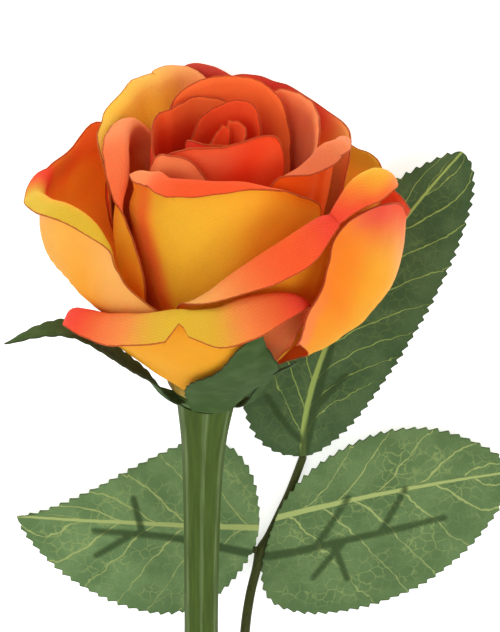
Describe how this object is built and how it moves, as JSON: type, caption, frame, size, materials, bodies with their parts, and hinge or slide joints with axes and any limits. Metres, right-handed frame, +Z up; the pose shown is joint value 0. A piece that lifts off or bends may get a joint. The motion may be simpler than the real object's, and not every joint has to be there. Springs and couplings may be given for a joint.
{
  "type": "artificial rose",
  "caption": "Open double rose of fabric petals in four whorls on a ridged plastic stem, with sepals and a toothed compound leaf, lying on its side.",
  "frame": {"origin": "on the floor, under the middle of the bounding box of the rose as it lies", "axes": "+Y from the cut end of the stem towards the bloom, +Z up from the floor, +X to the right seen from above"},
  "size_m": [0.1046, 0.2616, 0.0693],
  "materials": {
    "outer_petal_fabric": "matte woven fabric, yellow orange with coral margins",
    "middle_petal_fabric": "matte woven fabric, yellow orange with coral margins",
    "inner_petal_fabric": "matte woven fabric, orange with coral red margins",
    "heart_petal_fabric": "matte woven fabric, coral red",
    "sepal_fabric": "matte woven fabric, dark green",
    "stem_plastic": "moulded, satin, ridged lengthwise",
    "stalk_plastic": "moulded, satin",
    "left_leaf_fabric": "matte woven fabric with printed veins",
    "right_leaf_fabric": "matte woven fabric with printed veins",
    "top_leaf_fabric": "matte woven fabric with printed veins"
  },
  "bodies": {
    "root": {"outer_petals": "outer_petal_fabric", "middle_petals": "middle_petal_fabric", "inner_petals": "inner_petal_fabric", "heart_petals": "heart_petal_fabric", "calyx": "sepal_fabric", "stem": "stem_plastic", "leaf_stalk": "stalk_plastic", "leaflet_left": "left_leaf_fabric", "leaflet_right": "right_leaf_fabric", "leaflet_top": "top_leaf_fabric"}
  },
  "joints": []
}
